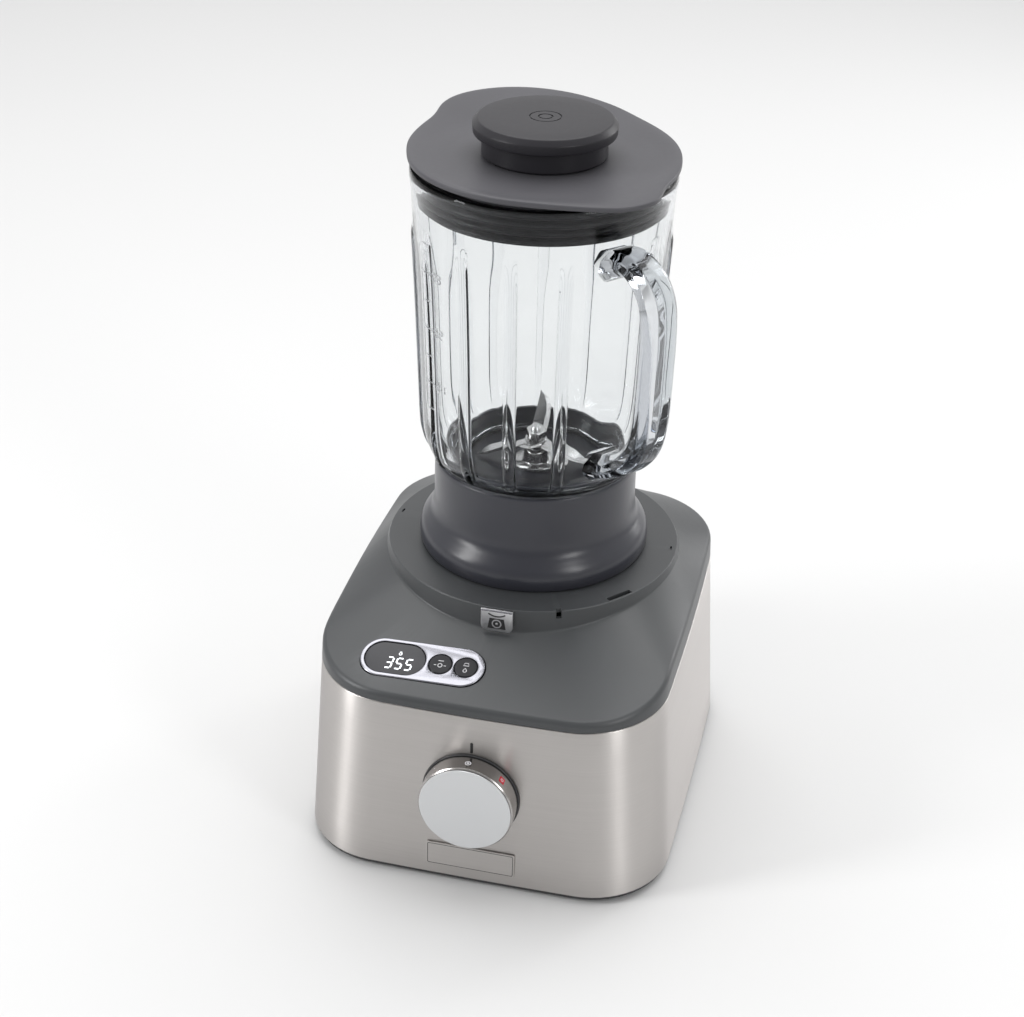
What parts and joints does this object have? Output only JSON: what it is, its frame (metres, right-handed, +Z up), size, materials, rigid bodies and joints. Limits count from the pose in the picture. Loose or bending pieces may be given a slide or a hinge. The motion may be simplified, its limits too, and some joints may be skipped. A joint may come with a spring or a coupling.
{
  "type": "countertop blender",
  "caption": "Countertop blender: a tapered base with a speed dial and weighing display carries a handled glass jug on a screw-in blade unit, closed by a lid with a filler cap.",
  "frame": {"origin": "on the standing surface, under the middle of the part's box", "axes": "+Z up along the jug, front with the dial towards -Y, +X to the viewer's right"},
  "size_m": [0.2094, 0.2562, 0.4],
  "materials": {
    "steel_wrap": "satin, brushed round the case",
    "satin_metal": "satin, with a polished edge",
    "cutter_steel": "ground and polished",
    "machined_steel": "turned",
    "copper_winding": "enamelled wire",
    "grey_plastic": "fine satin texture",
    "collar_plastic": "satin",
    "lid_plastic": "satin",
    "dark_plastic": "satin",
    "rubber": "matt",
    "circuit_board": "solder mask",
    "display_window": "polished",
    "clear_glass": "fire polished"
  },
  "bodies": {
    "base": {"base_plate": "dark_plastic", "foot_front_left": "rubber", "foot_front_right": "rubber", "foot_rear_left": "rubber", "foot_rear_right": "rubber", "load_cell_front_left": "machined_steel", "load_cell_front_right": "machined_steel", "load_cell_rear_left": "machined_steel", "load_cell_rear_right": "machined_steel", "metal_wrap": "steel_wrap", "rear_panel": "grey_plastic", "cord_inlet": "rubber", "top_cover": "grey_plastic", "jug_seat": "dark_plastic", "scale_badge": "satin_metal", "display_bezel": "satin_metal", "display_lens": "display_window", "display_board": "circuit_board", "zero_switch": "dark_plastic", "unit_switch": "dark_plastic", "dial_ring": "dark_plastic", "dial_switch": "dark_plastic", "name_plate": "satin_metal", "drive_belt": "rubber", "motor_stator": "machined_steel", "motor_bracket": "machined_steel", "lower_bearing": "machined_steel", "upper_bearing": "machined_steel", "power_board": "circuit_board", "interlock_switch": "dark_plastic"},
    "dial": {"speed_dial": "satin_metal", "dial_cap": "satin_metal", "dial_shaft": "machined_steel"},
    "zero_key": {"zero_button": "dark_plastic"},
    "unit_key": {"unit_button": "dark_plastic"},
    "motor_rotor": {"motor_armature": "copper_winding", "motor_shaft": "machined_steel", "cooling_fan": "dark_plastic", "motor_pulley": "machined_steel"},
    "drive_spindle": {"drive_shaft": "machined_steel", "drive_pulley": "machined_steel", "drive_coupling": "dark_plastic"},
    "interlock": {"interlock_pin": "dark_plastic"},
    "blade_unit": {"blade_collar": "collar_plastic", "jug_seal": "rubber", "blade_bush": "cutter_steel"},
    "blades": {"blade_shaft": "machined_steel", "lower_blade": "cutter_steel", "upper_blade": "cutter_steel", "blade_nut": "cutter_steel", "driven_coupling": "dark_plastic"},
    "jug": {"glass_jug": "clear_glass", "jug_handle": "clear_glass"},
    "jug_lid": {"lid": "lid_plastic", "lid_seal": "rubber"},
    "cap": {"filler_cap": "lid_plastic"}
  },
  "joints": [
    {"name": "dial_turn", "type": "hinge", "parent": "base", "child": "dial", "pos_m": [0, -0.11403, 0.063], "axis": [0, -0.9999, 0.0153], "range_deg": [-150, 45]},
    {"name": "zero_press", "type": "slide", "parent": "base", "child": "zero_key", "axis": [0.0244, 0.3419, -0.9394], "range_m": [0, 0.001], "stiffness_N_per_m": 600, "springref_m": -0.0005},
    {"name": "unit_press", "type": "slide", "parent": "base", "child": "unit_key", "axis": [0.0244, 0.3419, -0.9394], "range_m": [0, 0.001], "stiffness_N_per_m": 600, "springref_m": -0.0005},
    {"name": "drive_spin", "type": "hinge", "parent": "base", "child": "drive_spindle", "pos_m": [0, 0.023, 0.015], "axis": [0, 0, 1], "continuous": true},
    {"name": "motor_spin", "type": "hinge", "parent": "base", "child": "motor_rotor", "pos_m": [-0.038, -0.036, 0.015], "axis": [0, 0, 1], "continuous": true},
    {"name": "jug_lift", "type": "slide", "parent": "base", "child": "blade_unit", "axis": [0, 0, 1], "range_m": [0, 0.1]},
    {"name": "interlock_rise", "type": "slide", "parent": "base", "child": "interlock", "axis": [0, 0, 1], "range_m": [0, 0.003]},
    {"name": "blade_spin", "type": "hinge", "parent": "blade_unit", "child": "blades", "pos_m": [0, 0.023, 0.2], "axis": [0, 0, 1], "continuous": true},
    {"name": "jug_unscrew", "type": "hinge", "parent": "blade_unit", "child": "jug", "pos_m": [0, 0.023, 0.2], "axis": [0, 0, 1], "range_deg": [0, 40]},
    {"name": "lid_lift", "type": "slide", "parent": "jug", "child": "jug_lid", "axis": [0, 0, 1], "range_m": [0, 0.06]},
    {"name": "cap_lift", "type": "slide", "parent": "jug_lid", "child": "cap", "axis": [0, 0, 1], "range_m": [0, 0.06]}
  ],
  "couplings": [
    {"joint": "motor_spin", "follows": "drive_spin", "ratio": 4},
    {"joint": "blade_spin", "follows": "drive_spin", "ratio": 1},
    {"joint": "interlock_rise", "follows": "jug_lift", "ratio": 0.03}
  ]
}
